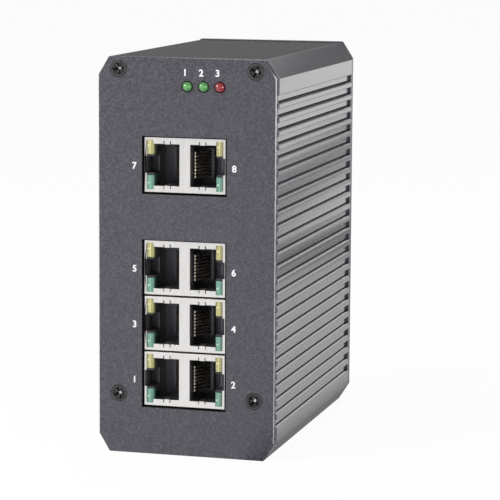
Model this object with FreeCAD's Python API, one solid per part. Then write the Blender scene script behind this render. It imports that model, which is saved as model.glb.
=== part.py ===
"""DIN rail network switch with eight stacked sockets in an extruded housing.

Frame: X to the right, Y from the front plate to the rail, Z up, millimetres.
The pieces are drawn with Y = 0 on the front plate's face and Z = 0 on the flat
underside, then moved along Y so that the origin lies under the middle of the
whole switch.
"""
import FreeCAD, Part
import math
import os

V = FreeCAD.Vector

# ---- Housing: an eight-sided extruded tube with ribbed sides -----------------
BODY_WIDTH = 56.0
BODY_HEIGHT = 120.0
BODY_DEPTH = 98.2          # front plate's face to rear plate's back
CHAMFER_WIDTH = 3.8        # bevelled corners, along X
CHAMFER_HEIGHT = 5.5       # and along Z
SIDE_WALL = 3.0
TOP_WALL = 2.2
GROOVE_PITCH = 4.04
GROOVE_MARGIN = 5.5        # least distance from a bevel to the nearest groove's middle
GROOVE_WIDTH = 2.0
GROOVE_DEPTH = 1.0
GROOVE_LEAD = 0.2          # small bevel at each groove's mouth
SCREW_BOSS_RADIUS = 3.0
SCREW_BOSS_SLOT = 1.2      # the bosses are open C shapes, as extruded
GUIDE_THICKNESS = 1.2
GUIDE_HEIGHT = 2.4

# ---- End plates ------------------------------------------------------------
FRONT_INSET = 0.5          # each side of the plate stands inside the housing's
FRONT_THICKNESS = 2.0
FRONT_EDGE = 0.25          # broken edge round the front face
REAR_INSET = 0.3
REAR_PROUD = 0.3           # rear plate's top above the housing's
REAR_THICKNESS = 3.0

# ---- Screws ------------------------------------------------------------------
SCREW_DIAMETER = 3.0
SCREW_HEAD = 5.2
SCREW_LENGTH = 9.0
SCREW_FROM_SIDE = 6.8      # axis to the housing's side
SCREW_FROM_TOP = 3.6
SCREW_FROM_BOTTOM = 18.1
GROUND_SCREW_DIAMETER = 4.0
GROUND_SCREW_HEAD = 8.0
GROUND_SCREW_LENGTH = 7.0
GROUND_HEAD_HEIGHT = 2.6
GROUND_HEAD_BEVEL = 0.9
GROUND_HEIGHT = 30.0

# ---- Jacks: two sockets back to back in one shield ---------------------------
JACK_X = -0.78             # the jacks' middle, a little left of the housing's
JACK_DEPTH = 26.0
JACK_RECESS = 1.0          # shield face behind the front plate's face
JACK_GAP = 0.47            # between neighbours in the lower group
JACK_CLEARANCE = 0.3       # round each jack in the front plate
LOWER_JACKS = 3
LOWEST_JACK_EDGE = 14.84   # its lower edge above the underside
TOP_JACK_SHARE = 0.512     # where the single top jack sits in the free height
SHEET = 0.3                # shield's sheet thickness
SOCKET_BAR = 3.3           # shield bar between the two sockets
SOCKET_HEIGHT = 8.1        # along X, without the latch notch
SOCKET_WIDTH = 12.6        # along Z
SOCKET_DEPTH = 12.2
COMB_FRONT = 9.8           # comb that the contacts come out of, behind the shield's face
COMB_TOP = 6.3             # its outer edge from the jack's middle
COMB_HALF = 4.6            # half its width, along Z
LATCH_WIDTH = 5.0
LIGHT_WIDTH = 2.15         # along X
LIGHT_LENGTH = 4.3         # along Z
LIGHT_DEPTH = 5.0
LIGHT_BULGE = 0.35
LIGHT_FIT = 0.05
LIGHT_STEP = 1.15          # shield's window is this much wider, each way, at the lights
SHIELD_END = 0.88          # shield strip outside the lights, along X
SHIELD_EDGE = 0.78         # and along Z
INSERT_LIP = 0.05          # insert's walls stand inside the shield's opening
TAB_WIDTH = 1.7            # earthing spring in the shield's long edges
TAB_FROM_BAR = 3.0
TAB_SLIT = 0.3
TAB_SLIT_LENGTH = 0.9
TAB_REACH = 2.4
TAB_INSET = 0.2            # its bend lies this far outside the window's edge
TAB_SPRING = 0.3           # how far the spring leans into the socket
TAB_FIT = 0.05             # round the spring in the insert's pocket for it
CONTACT_COUNT = 8
CONTACT_PITCH = 1.02
CONTACT_WIDTH = 0.46
CONTACT_THICKNESS = 0.25
CONTACT_FOLD = 2.85        # folds this far behind the shield's face
CONTACT_FOLD_RADIUS = 0.45
CONTACT_FOLD_FLATS = 3     # the small fold is coined in flats
CONTACT_REACH = 9.2        # free end this far behind the shield's face
CONTACT_RISE = 3.5
CONTACT_FIT = 0.05         # between the contacts and the socket's floor

# ---- Boards and what they carry ----------------------------------------------
BOARD_THICKNESS = 1.6
BOARD_CLEARANCE = 0.2
LED_COUNT = 3
LED_X = 0.2                # first indicator
LED_PITCH = 5.0
LED_FROM_TOP = 8.4
LED_DIAMETER = 3.1
LED_COLLAR = 3.8
LED_FLAT = 0.12            # radius of the small flat on the dome
LED_COLLAR_THICKNESS = 1.0
LED_COLLAR_GAP = 0.6       # behind the front plate
LED_STANDOUT = 1.4
LED_HOLE_CLEARANCE = 0.15
LEAD = 0.5
LEAD_PITCH = 1.27
INDICATOR_BOARD_Y = 8.0
INDICATOR_BOARD_RIGHT = 14.0
INDICATOR_BOARD_DROP = 4.0  # its lower edge below the indicators' middles
PIN_STRIP = 2.5
PIN_STRIP_MARGIN = 1.0     # strip ends inside the indicator board's edges
BAY_GAP = 4.0              # jacks' rears to the first components
PART_GAP = 3.0             # between neighbouring components
CHIP_SIDE = 24.0
CHIP_HEIGHT = 1.6
CONVERTER_SIDE = 9.0
INDUCTOR_SIDE = 12.0
INDUCTOR_HEIGHT = 7.0
CAPACITOR_COUNT = 3
CAPACITOR_DIAMETER = 10.0
CAPACITOR_HEIGHT = 16.0
CAPACITOR_PITCH = 12.0
RELAY_SIZE = (10.5, 20.0, 10.0)  # off the board, along Y and along Z
CRYSTAL_SIZE = (3.6, 11.4, 4.8)
FUSE_SIZE = (4.0, 8.5, 8.5)

# ---- Terminal header, set into the underside ---------------------------------
POLE_COUNT = 6
POLE_PITCH = 5.08
HEADER_END_WALL = 1.3
HEADER_WIDTH = 8.6
HEADER_HEIGHT = 12.0
HEADER_RECESS = 0.8        # mouth above the underside
HEADER_WALL = 1.0
HEADER_CAVITY = 9.0
HEADER_FROM_REAR = 8.0
HEADER_CLEARANCE = 0.4
PIN_SIDE = 1.0
PIN_SETBACK = 4.8          # tip inside the header's mouth
PIN_TURN = 1.2             # bend above the header's back
PIN_FIT = 0.05

# ---- Rail bracket and its spring ---------------------------------------------
RAIL_WIDTH = 35.0
RAIL_ABOVE_MIDDLE = 14.8   # rail's centre above the housing's
RAIL_SLOT = 1.4            # gap behind each hook's lip
BRACKET_WIDTH = 40.0
BRACKET_THICKNESS = 3.4
HOOK_THICKNESS = 3.2       # each hook's lip
HOOK_LEG = 4.0
HOOK_TIP = 1.0             # bevel at each lip's tip
LOWER_OVERLAP = 1.6        # lip over the rail's lower flange
LOWER_PLAY = 0.4
UPPER_OVERLAP = 2.2
UPPER_PLAY = 4.0           # room for the spring and for hooking on
WIRE_WIDTH = 1.2           # flat spring wire
WIRE_THICKNESS = 0.8
WIRE_SPAN = 30.0           # between the spring's two upturned ends
WIRE_BELLY = 7.5           # its straight middle, on the rail's edge
WIRE_END = 2.4
WIRE_BEND = 1.2
WIRE_FIT = 0.1
BRACKET_SCREW_SPAN_X = 26.0
BRACKET_SCREW_SPAN_Z = 16.0
BRACKET_SCREW_LENGTH = 6.0
SCREW_FIT = 0.05           # round a screw's shank in its threaded hole
SCREW_HOLE_CLEARANCE = 0.2  # round a screw's shank in a plain hole

OVERCUT = 1.0              # cutters run this far past the faces that they open

# ---- Worked out --------------------------------------------------------------
half_body = BODY_WIDTH / 2
half_flat = half_body - CHAMFER_WIDTH
inner_half = half_body - SIDE_WALL
tube_front = FRONT_THICKNESS
tube_rear = BODY_DEPTH - REAR_THICKNESS
screw_x = half_body - SCREW_FROM_SIDE
screw_heights = (SCREW_FROM_BOTTOM, BODY_HEIGHT - SCREW_FROM_TOP)
screw_places = [(x, z) for z in screw_heights for x in (-screw_x, screw_x)]
screw_radius = SCREW_DIAMETER / 2

# A jack is drawn about its own middle: u across both sockets, w along its width.
bar_half = SOCKET_BAR / 2
socket_outer = bar_half + SOCKET_HEIGHT
socket_floor = bar_half + INSERT_LIP
light_outer = socket_outer + LIGHT_WIDTH
half_span = light_outer + SHIELD_END
sheet_inner = half_span - SHEET
half_socket = SOCKET_WIDTH / 2
half_latch = LATCH_WIDTH / 2
half_window = half_socket + LIGHT_STEP
half_jack = half_window + SHIELD_EDGE
light_low = half_window - LIGHT_LENGTH
tab_inner = bar_half + TAB_FROM_BAR
tab_outer = tab_inner + TAB_WIDTH
tab_bend = half_socket + TAB_INSET

led_z = BODY_HEIGHT - LED_FROM_TOP
jack_step = 2 * half_jack + JACK_GAP
lower_jack_zs = [LOWEST_JACK_EDGE + half_jack + i * jack_step for i in range(LOWER_JACKS)]
lower_top_edge = lower_jack_zs[-1] + half_jack
free_height = led_z - LED_DIAMETER / 2 - lower_top_edge - 2 * half_jack
top_jack_z = lower_top_edge + TOP_JACK_SHARE * free_height + half_jack
jack_zs = lower_jack_zs + [top_jack_z]
jack_front = JACK_RECESS
jack_rear = JACK_RECESS + JACK_DEPTH
insert_front = jack_front + SHEET
cavity_rear = insert_front + SOCKET_DEPTH
comb_front = jack_front + COMB_FRONT
tab_tip = jack_front + TAB_REACH

board_face = JACK_X - half_span               # the jacks sit on this face
board_back = board_face - BOARD_THICKNESS
board_front_edge = tube_front + BOARD_CLEARANCE
board_rear_edge = tube_rear - BOARD_CLEARANCE
board_bottom = TOP_WALL + BOARD_CLEARANCE
board_top = BODY_HEIGHT - TOP_WALL - BOARD_CLEARANCE
indicator_top = board_top - GUIDE_HEIGHT
indicator_bottom = led_z - INDICATOR_BOARD_DROP
bay_y = jack_rear + BAY_GAP
second_bay_y = bay_y + CHIP_SIDE + PART_GAP

header_length = POLE_COUNT * POLE_PITCH + 2 * HEADER_END_WALL
header_y1 = tube_rear - HEADER_FROM_REAR
header_y0 = header_y1 - header_length
header_top = HEADER_RECESS + HEADER_HEIGHT
pin_x = board_face + HEADER_WIDTH / 2
pin_ys = [header_y0 + HEADER_END_WALL + (i + 0.5) * POLE_PITCH for i in range(POLE_COUNT)]
pin_turn_z = header_top + PIN_TURN

fuse_z = lower_jack_zs[1] + CHIP_SIDE + PART_GAP
rail_z = BODY_HEIGHT / 2 + RAIL_ABOVE_MIDDLE
rail_bottom = rail_z - RAIL_WIDTH / 2
rail_top = rail_z + RAIL_WIDTH / 2
bracket_back = BODY_DEPTH + BRACKET_THICKNESS
lip_front = bracket_back + RAIL_SLOT
hook_back = lip_front + HOOK_THICKNESS
upper_slot_top = rail_top + UPPER_PLAY
wire_y = bracket_back + RAIL_SLOT / 2
bracket_screw_places = [(x, rail_z + z)
                        for z in (-BRACKET_SCREW_SPAN_Z / 2, BRACKET_SCREW_SPAN_Z / 2)
                        for x in (-BRACKET_SCREW_SPAN_X / 2, BRACKET_SCREW_SPAN_X / 2)]

middle_y = (hook_back - LED_STANDOUT) / 2


# ---- Shapes used throughout --------------------------------------------------
def block(x0, x1, y0, y1, z0, z1):
    return Part.makeBox(x1 - x0, y1 - y0, z1 - z0, V(x0, y0, z0))


def prism_y(points, y0, y1):
    """Outline given as (x, z), run from y0 to y1."""
    corners = [V(x, y0, z) for x, z in points]
    face = Part.Face(Part.makePolygon(corners + corners[:1]))
    return face.extrude(V(0, y1 - y0, 0))


def prism_x(points, x0, x1):
    """Outline given as (y, z), run from x0 to x1."""
    corners = [V(x0, y, z) for y, z in points]
    face = Part.Face(Part.makePolygon(corners + corners[:1]))
    return face.extrude(V(x1 - x0, 0, 0))


def rod_y(x, z, radius, y0, y1):
    return Part.makeCylinder(radius, y1 - y0, V(x, y0, z), V(0, 1, 0))


def eight_sided(width, height):
    """End outline: flat top and bottom, upright sides, four bevelled corners."""
    half = width / 2
    right = [(half_flat, 0), (half, CHAMFER_HEIGHT), (half, height - CHAMFER_HEIGHT), (half_flat, height)]
    left = [(-x, z) for x, z in reversed(right)]
    return right + left


def bent_wire(points, radius):
    """Path of straight runs joined by tangent arcs of one radius."""
    edges = []
    start = points[0]
    for before, corner, after in zip(points, points[1:], points[2:]):
        back = (before - corner).normalize()
        on = (after - corner).normalize()
        half_angle = back.getAngle(on) / 2
        reach = radius / math.tan(half_angle)
        entry = corner + back * reach
        leave = corner + on * reach
        bisector = (back + on).normalize()
        centre = corner + bisector * (radius / math.sin(half_angle))
        middle = centre - bisector * radius
        edges.append(Part.LineSegment(start, entry).toShape())
        edges.append(Part.Arc(entry, middle, leave).toShape())
        start = leave
    edges.append(Part.LineSegment(start, points[-1]).toShape())
    return Part.Wire(edges)


def save(name, shape):
    shape.translate(V(0, -middle_y, 0))
    shape.exportStep(f"parts/{name}.step")


# ---- Housing and end plates --------------------------------------------------
def groove_heights():
    """Middles of the grooves that fit between the bevels, spread about mid-height."""
    room = BODY_HEIGHT - 2 * (CHAMFER_HEIGHT + GROOVE_MARGIN)
    count = int(room / GROOVE_PITCH) + 1
    first = BODY_HEIGHT / 2 - (count - 1) / 2 * GROOVE_PITCH
    return [first + i * GROOVE_PITCH for i in range(count)]


def housing_outline():
    """End outline with the row of grooves cut into both sides."""
    side = []
    for middle in groove_heights():
        low = middle - GROOVE_WIDTH / 2
        high = middle + GROOVE_WIDTH / 2
        side += [(half_body, low - GROOVE_LEAD), (half_body - GROOVE_LEAD, low),
                 (half_body - GROOVE_DEPTH, low), (half_body - GROOVE_DEPTH, high),
                 (half_body - GROOVE_LEAD, high), (half_body, high + GROOVE_LEAD)]
    right = [(half_flat, 0), (half_body, CHAMFER_HEIGHT)] + side
    right += [(half_body, BODY_HEIGHT - CHAMFER_HEIGHT), (half_flat, BODY_HEIGHT)]
    left = [(-x, z) for x, z in reversed(right)]
    return right + left


def housing_cavity():
    """Inside of the tube: even wall round the top, thicker ribbed sides."""
    corners = [V(x, tube_front, z) for x, z in eight_sided(BODY_WIDTH, BODY_HEIGHT)]
    face = Part.Face(Part.makePolygon(corners + corners[:1]))
    inside = face.makeOffset2D(-TOP_WALL, 2).extrude(V(0, tube_rear - tube_front, 0))
    return inside.common(block(-inner_half, inner_half, tube_front, tube_rear, 0, BODY_HEIGHT))


def screw_bosses():
    """Four C-shaped screw channels; the lower two stand off the side walls on webs."""
    solids = []
    for x, z in screw_places:
        solids.append(rod_y(x, z, SCREW_BOSS_RADIUS, tube_front, tube_rear))
        if z == screw_heights[0]:
            near, far = sorted((x, math.copysign(inner_half + SIDE_WALL / 2, x)))
            solids.append(block(near, far, tube_front, tube_rear, z - screw_radius, z + screw_radius))
    return solids


def screw_channels():
    """Bores of the bosses, each with the slot that opens it to the inside."""
    cutters = []
    half_slot = SCREW_BOSS_SLOT / 2
    for x, z in screw_places:
        cutters.append(rod_y(x, z, screw_radius + SCREW_FIT, tube_front, tube_rear))
        if z == screw_heights[0]:
            near, far = sorted((x, x - math.copysign(2 * SCREW_BOSS_RADIUS, x)))
            cutters.append(block(near, far, tube_front, tube_rear, z - half_slot, z + half_slot))
        else:
            cutters.append(block(x - half_slot, x + half_slot, tube_front, tube_rear,
                                 z - 2 * SCREW_BOSS_RADIUS, z))
    return cutters


def card_guides():
    """Two pairs of ribs that hold the main board's upper and lower edges."""
    ribs = []
    outer = board_back - BOARD_CLEARANCE
    inner = board_face + BOARD_CLEARANCE
    for x0 in (outer - GUIDE_THICKNESS, inner):
        x1 = x0 + GUIDE_THICKNESS
        ribs.append(block(x0, x1, tube_front, tube_rear, TOP_WALL / 2, TOP_WALL + GUIDE_HEIGHT))
        ribs.append(block(x0, x1, tube_front, tube_rear,
                          BODY_HEIGHT - TOP_WALL - GUIDE_HEIGHT, BODY_HEIGHT - TOP_WALL / 2))
    return ribs


def header_slot():
    """Opening in the underside for the terminal header, with the guide cut back round it."""
    return block(board_face - HEADER_CLEARANCE / 2, board_face + HEADER_WIDTH + HEADER_CLEARANCE,
                 header_y0 - HEADER_CLEARANCE, header_y1 + HEADER_CLEARANCE,
                 -OVERCUT, TOP_WALL + GUIDE_HEIGHT + OVERCUT)


def guide_clearance():
    """The jacks' shields pass the inner guides only above and below them."""
    reach = half_jack + JACK_CLEARANCE
    return block(board_face, board_face + 2 * half_span, tube_front, jack_rear + BOARD_CLEARANCE,
                 lower_jack_zs[0] - reach, top_jack_z + reach)


def housing():
    tube = prism_y(housing_outline(), tube_front, tube_rear).cut(housing_cavity())
    tube = tube.fuse(screw_bosses() + card_guides())
    tube = tube.cut(screw_channels() + [header_slot(), guide_clearance()])
    return tube.removeSplitter()


def countersink(x, z, y_face, direction, thickness):
    """Hole and cone for a countersunk screw; direction is +1 when it is driven along +Y."""
    head = SCREW_HEAD / 2 + SCREW_HOLE_CLEARANCE / 2
    shank = screw_radius + SCREW_HOLE_CLEARANCE
    cone = Part.makeCone(head, shank, head - shank, V(x, y_face, z), V(0, direction, 0))
    hole = Part.makeCylinder(shank, thickness + OVERCUT, V(x, y_face, z), V(0, direction, 0))
    return cone.fuse(hole)


def jack_cutouts():
    """One opening for the lower group of jacks and one for the single jack above."""
    side = half_span + JACK_CLEARANCE
    edge = half_jack + JACK_CLEARANCE
    groups = ((lower_jack_zs[0], lower_jack_zs[-1]), (top_jack_z, top_jack_z))
    return [block(JACK_X - side, JACK_X + side, -OVERCUT, FRONT_THICKNESS + OVERCUT, low - edge, high + edge)
            for low, high in groups]


def led_places():
    return [(LED_X + i * LED_PITCH, led_z) for i in range(LED_COUNT)]


def front_plate():
    plate = prism_y(eight_sided(BODY_WIDTH - 2 * FRONT_INSET, BODY_HEIGHT), 0, FRONT_THICKNESS)
    rim = [edge for edge in plate.Edges if edge.BoundBox.YMax < FRONT_THICKNESS / 2]
    plate = plate.makeChamfer(FRONT_EDGE, rim)
    cutters = jack_cutouts()
    cutters += [countersink(x, z, 0, 1, FRONT_THICKNESS) for x, z in screw_places]
    hole = LED_DIAMETER / 2 + LED_HOLE_CLEARANCE
    cutters += [rod_y(x, z, hole, -OVERCUT, FRONT_THICKNESS + OVERCUT) for x, z in led_places()]
    return plate.cut(cutters)


def rear_plate():
    plate = prism_y(eight_sided(BODY_WIDTH - 2 * REAR_INSET, BODY_HEIGHT + REAR_PROUD), tube_rear, BODY_DEPTH)
    cutters = [countersink(x, z, BODY_DEPTH, -1, REAR_THICKNESS) for x, z in screw_places]
    y0, y1 = tube_rear - OVERCUT, BODY_DEPTH + OVERCUT
    cutters += [rod_y(x, z, screw_radius + SCREW_FIT, y0, y1) for x, z in bracket_screw_places]
    cutters.append(rod_y(0, GROUND_HEIGHT, GROUND_SCREW_DIAMETER / 2 + SCREW_FIT, y0, y1))
    return plate.cut(cutters)


# ---- Screws ------------------------------------------------------------------
def countersunk_screw(x, z, y_face, direction, length):
    head = SCREW_HEAD / 2
    axis = V(0, direction, 0)
    cone = Part.makeCone(head, screw_radius, head - screw_radius, V(x, y_face, z), axis)
    shank = Part.makeCylinder(screw_radius, length, V(x, y_face, z), axis)
    return cone.fuse(shank)


def screw_set(places, y_face, direction, length):
    return Part.makeCompound([countersunk_screw(x, z, y_face, direction, length) for x, z in places])


def ground_screw():
    """Pan-head earthing screw low on the rear plate."""
    head = rod_y(0, GROUND_HEIGHT, GROUND_SCREW_HEAD / 2, BODY_DEPTH, BODY_DEPTH + GROUND_HEAD_HEIGHT)
    rim = [edge for edge in head.Edges if edge.Closed and edge.BoundBox.YMin > BODY_DEPTH + GROUND_HEAD_BEVEL]
    head = head.makeChamfer(GROUND_HEAD_BEVEL, rim)
    shank = rod_y(0, GROUND_HEIGHT, GROUND_SCREW_DIAMETER / 2, BODY_DEPTH - GROUND_SCREW_LENGTH, BODY_DEPTH)
    return head.fuse(shank)


# ---- Jacks -------------------------------------------------------------------
def jack_block(side, u0, u1, y0, y1, w0, w1, z):
    """Block in one socket's half of a jack; side is -1 for the left one."""
    x0, x1 = sorted((JACK_X + side * u0, JACK_X + side * u1))
    return block(x0, x1, y0, y1, z + w0, z + w1)


def jack_body(z, half_x, half_z, y0, y1):
    """Block centred on a jack."""
    return block(JACK_X - half_x, JACK_X + half_x, y0, y1, z - half_z, z + half_z)


def earthing_spring(side, edge, z):
    """Leaf bent in round the shield's window edge, leaning towards the plug."""
    inner = tab_bend - SHEET
    profile = [(jack_front, tab_bend), (jack_front, inner), (tab_tip, inner - TAB_SPRING),
               (tab_tip, tab_bend - TAB_SPRING), (insert_front, tab_bend)]
    x0, x1 = sorted((JACK_X + side * tab_inner, JACK_X + side * tab_outer))
    return prism_x([(y, z + edge * w) for y, w in profile], x0, x1)


def jack_shield(z):
    """Folded sheet box with a windowed face and four earthing springs to each socket."""
    shell = jack_body(z, half_span, half_jack, jack_front, jack_rear)
    shell = shell.cut(jack_body(z, sheet_inner, half_jack - SHEET, insert_front, jack_rear - SHEET))
    cutters = []
    springs = []
    front, back = jack_front - OVERCUT, insert_front
    for side in (-1, 1):
        cutters.append(jack_block(side, bar_half, socket_outer, front, back, -half_socket, half_socket, z))
        cutters.append(jack_block(side, socket_outer, light_outer, front, back, -half_window, half_window, z))
        cutters.append(jack_block(side, light_outer, sheet_inner, front, back, -half_latch, half_latch, z))
        for edge in (-1, 1):
            w0, w1 = sorted((edge * half_socket, edge * (half_socket + TAB_SLIT_LENGTH)))
            for u in (tab_inner - TAB_SLIT, tab_outer):
                cutters.append(jack_block(side, u, u + TAB_SLIT, front, back, w0, w1, z))
            springs.append(earthing_spring(side, edge, z))
    return shell.cut(cutters).fuse(springs).removeSplitter()


def jack_insert(z):
    """Moulded body: two sockets, each with its comb, latch channel and pockets for springs and lights."""
    half = half_jack - SHEET
    body = jack_body(z, sheet_inner, half, insert_front, jack_rear - SHEET)
    cutters = []
    front = insert_front - OVERCUT
    half_hole = half_socket - INSERT_LIP
    for side in (-1, 1):
        for u0, rear in ((socket_floor, comb_front), (COMB_TOP, cavity_rear)):
            cutters.append(jack_block(side, u0, socket_outer, front, rear, -half_hole, half_hole, z))
        cutters.append(jack_block(side, socket_outer - OVERCUT, sheet_inner - SHEET, front, cavity_rear,
                                  -half_latch, half_latch, z))
        for edge in (-1, 1):
            w0, w1 = sorted((edge * COMB_HALF, edge * half_hole))
            cutters.append(jack_block(side, socket_floor, socket_outer, front, cavity_rear, w0, w1, z))
            w0, w1 = sorted((edge * (light_low - LIGHT_FIT), edge * (half + OVERCUT)))
            cutters.append(jack_block(side, socket_outer - LIGHT_FIT, light_outer + LIGHT_FIT, front,
                                      insert_front + LIGHT_DEPTH, w0, w1, z))
            w0, w1 = sorted((edge * (half_hole - OVERCUT), edge * (tab_bend + TAB_FIT)))
            cutters.append(jack_block(side, tab_inner - TAB_FIT, tab_outer + TAB_FIT, front,
                                      tab_tip + TAB_FIT, w0, w1, z))
    return body.cut(cutters).removeSplitter()


def jack_light(z, side, edge):
    """Clear light bar in an outer corner of a socket, its face a shallow barrel."""
    rear = insert_front + LIGHT_DEPTH
    inner, outer = JACK_X + side * socket_outer, JACK_X + side * light_outer
    middle = (inner + outer) / 2
    low = z + (light_low if edge > 0 else -half_window)
    near, crown, far = [V(x, y, low) for x, y in ((inner, insert_front), (middle, insert_front - LIGHT_BULGE),
                                                  (outer, insert_front))]
    corners = [far, V(outer, rear, low), V(inner, rear, low), near]
    edges = [Part.Arc(near, crown, far).toShape()]
    edges += [Part.LineSegment(a, b).toShape() for a, b in zip(corners, corners[1:])]
    return Part.Face(Part.Wire(edges)).extrude(V(0, 0, LIGHT_LENGTH))


def contact_outline(side, w):
    """Spring wire: along the socket's floor from the comb, folded at the front, rising to its free end."""
    thick = CONTACT_THICKNESS
    floor = socket_floor + CONTACT_FIT
    fold_y = jack_front + CONTACT_FOLD + CONTACT_FOLD_RADIUS
    fold_u = floor + CONTACT_FOLD_RADIUS
    run = CONTACT_REACH - CONTACT_FOLD
    sweep = math.pi - math.atan2(CONTACT_RISE, run)
    outline = [(floor, comb_front)]
    for step in range(CONTACT_FOLD_FLATS + 1):
        angle = math.pi + sweep * step / CONTACT_FOLD_FLATS
        outline.append((fold_u + CONTACT_FOLD_RADIUS * math.cos(angle),
                        fold_y + CONTACT_FOLD_RADIUS * math.sin(angle)))
    tip_u = floor + CONTACT_RISE
    tip_y = jack_front + CONTACT_REACH
    outline += [(tip_u, tip_y), (tip_u - thick, tip_y), (fold_u + CONTACT_FOLD_RADIUS - thick, fold_y),
                (floor + thick, fold_y), (floor + thick, comb_front)]
    corners = [V(JACK_X + side * u, y, w) for u, y in outline]
    return Part.makePolygon(corners + corners[:1])


def jack_contacts(z):
    solids = []
    first = -(CONTACT_COUNT - 1) / 2 * CONTACT_PITCH - CONTACT_WIDTH / 2
    for side in (-1, 1):
        for i in range(CONTACT_COUNT):
            outline = contact_outline(side, z + first + i * CONTACT_PITCH)
            solids.append(Part.Face(outline).extrude(V(0, 0, CONTACT_WIDTH)))
    return Part.makeCompound(solids)


# ---- Boards and components ---------------------------------------------------
def main_board():
    return block(board_back, board_face, board_front_edge, board_rear_edge, board_bottom, board_top)


def on_board(y, z, height, depth, tall):
    """Block standing on the main board's face: its height, then its Y and Z sizes."""
    return block(board_face, board_face + height, y, y + depth, z, z + tall)


def capacitors():
    y = tube_rear - CAPACITOR_DIAMETER
    lowest = rail_z - CAPACITOR_PITCH * (CAPACITOR_COUNT - 1) / 2
    return Part.makeCompound([
        Part.makeCylinder(CAPACITOR_DIAMETER / 2, CAPACITOR_HEIGHT,
                          V(board_face, y, lowest + i * CAPACITOR_PITCH), V(1, 0, 0))
        for i in range(CAPACITOR_COUNT)])


def led(x, z):
    """Domed indicator with its collar, turned in one, and two leads to the board behind."""
    radius = LED_DIAMETER / 2
    collar = LED_COLLAR / 2
    shoulder = radius - LED_STANDOUT
    collar_y = FRONT_THICKNESS + LED_COLLAR_GAP
    rear = collar_y + LED_COLLAR_THICKNESS
    crown = V(x + LED_FLAT, -LED_STANDOUT, z)
    waist = V(x + radius, shoulder, z)
    slant = math.radians(45)
    dome_middle = V(x + radius * math.sin(slant), shoulder - radius * math.cos(slant), z)
    corners = [waist, V(x + radius, collar_y, z), V(x + collar, collar_y, z), V(x + collar, rear, z),
               V(x, rear, z), V(x, -LED_STANDOUT, z), crown]
    edges = [Part.Arc(crown, dome_middle, waist).toShape()]
    edges += [Part.LineSegment(a, b).toShape() for a, b in zip(corners, corners[1:])]
    body = Part.Face(Part.Wire(edges)).revolve(V(x, 0, z), V(0, 1, 0), 360)
    leads = [block(x + s * LEAD_PITCH - LEAD / 2, x + s * LEAD_PITCH + LEAD / 2, rear, INDICATOR_BOARD_Y,
                   z - LEAD / 2, z + LEAD / 2) for s in (-1, 1)]
    return body.fuse(leads)


def indicator_board():
    return block(board_face + PIN_STRIP / 2, INDICATOR_BOARD_RIGHT, INDICATOR_BOARD_Y,
                 INDICATOR_BOARD_Y + BOARD_THICKNESS, indicator_bottom, indicator_top)


def indicator_pin_strip():
    """Angle strip that joins the indicator board to the main board."""
    y0 = INDICATOR_BOARD_Y + BOARD_THICKNESS
    return block(board_face, board_face + PIN_STRIP, y0, y0 + PIN_STRIP,
                 indicator_bottom + PIN_STRIP_MARGIN, indicator_top - PIN_STRIP_MARGIN)


# ---- Terminal header ---------------------------------------------------------
def terminal_header():
    shell = block(board_face, board_face + HEADER_WIDTH, header_y0, header_y1, HEADER_RECESS, header_top)
    cavity = block(board_face + HEADER_WALL, board_face + HEADER_WIDTH - HEADER_WALL,
                   header_y0 + HEADER_END_WALL, header_y1 - HEADER_END_WALL,
                   HEADER_RECESS - OVERCUT, HEADER_RECESS + HEADER_CAVITY)
    half = PIN_SIDE / 2 + PIN_FIT
    holes = [block(pin_x - half, pin_x + half, y - half, y + half, HEADER_RECESS, header_top + OVERCUT)
             for y in pin_ys]
    return shell.cut([cavity] + holes)


def terminal_pins():
    """Square pins: up through the header's back, then turned over to the main board."""
    half = PIN_SIDE / 2
    tip = HEADER_RECESS + PIN_SETBACK
    outline = [(pin_x - half, tip), (pin_x + half, tip), (pin_x + half, pin_turn_z + half),
               (board_face, pin_turn_z + half), (board_face, pin_turn_z - half),
               (pin_x - half, pin_turn_z - half)]
    return Part.makeCompound([prism_y(outline, y - half, y + half) for y in pin_ys])


# ---- Rail bracket ------------------------------------------------------------
def rail_bracket():
    """Extruded bracket: a fixed lower hook and a deeper upper one that holds the spring."""
    base_bottom = rail_bottom - LOWER_PLAY - HOOK_LEG
    base_top = upper_slot_top + HOOK_LEG
    lower_tip = rail_bottom + LOWER_OVERLAP
    upper_tip = rail_top - UPPER_OVERLAP
    lower_slot = rail_bottom - LOWER_PLAY
    bevel_y = hook_back - HOOK_TIP
    outline = [(BODY_DEPTH, base_bottom), (bevel_y, base_bottom), (hook_back, base_bottom + HOOK_TIP),
               (hook_back, lower_tip - HOOK_TIP), (bevel_y, lower_tip), (lip_front, lower_tip),
               (lip_front, lower_slot), (bracket_back, lower_slot),
               (bracket_back, upper_slot_top), (lip_front, upper_slot_top),
               (lip_front, upper_tip), (bevel_y, upper_tip), (hook_back, upper_tip + HOOK_TIP),
               (hook_back, base_top - HOOK_TIP), (bevel_y, base_top), (BODY_DEPTH, base_top)]
    bracket = prism_x(outline, -BRACKET_WIDTH / 2, BRACKET_WIDTH / 2)
    cutters = [countersink(x, z, bracket_back, -1, BRACKET_THICKNESS) for x, z in bracket_screw_places]
    hole_x = WIRE_THICKNESS / 2 + WIRE_FIT
    hole_y = WIRE_WIDTH / 2 + WIRE_FIT
    cutters += [block(x - hole_x, x + hole_x, wire_y - hole_y, wire_y + hole_y,
                      upper_slot_top - OVERCUT, upper_slot_top + WIRE_END + WIRE_FIT)
                for x in (-WIRE_SPAN / 2, WIRE_SPAN / 2)]
    return bracket.cut(cutters)


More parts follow.
